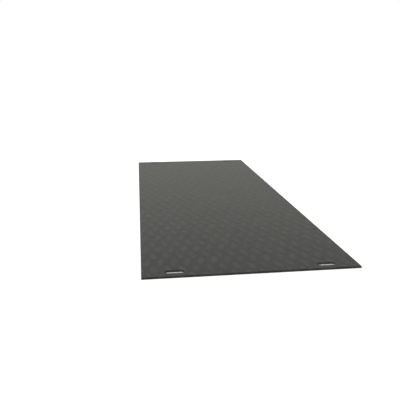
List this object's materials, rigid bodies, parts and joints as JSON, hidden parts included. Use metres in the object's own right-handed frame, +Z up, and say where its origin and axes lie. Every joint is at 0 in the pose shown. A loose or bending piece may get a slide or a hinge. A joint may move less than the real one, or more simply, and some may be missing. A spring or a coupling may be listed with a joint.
{
  "type": "ground protection mat",
  "caption": "Flat rectangular ground protection mat of black moulded plastic, with an almond pad tread on top and long round-ended hand slots at the short ends.",
  "frame": {"origin": "middle of the underside, on the floor", "axes": "+Y along the mat, +X across it, +Z up out of the tread"},
  "size_m": [1.2, 3.2, 0.012],
  "materials": {
    "mat_plastic": "black recycled polyethylene, satin, with fine moulded grain"
  },
  "bodies": {
    "root": {"ground_mat": "mat_plastic"}
  },
  "joints": []
}
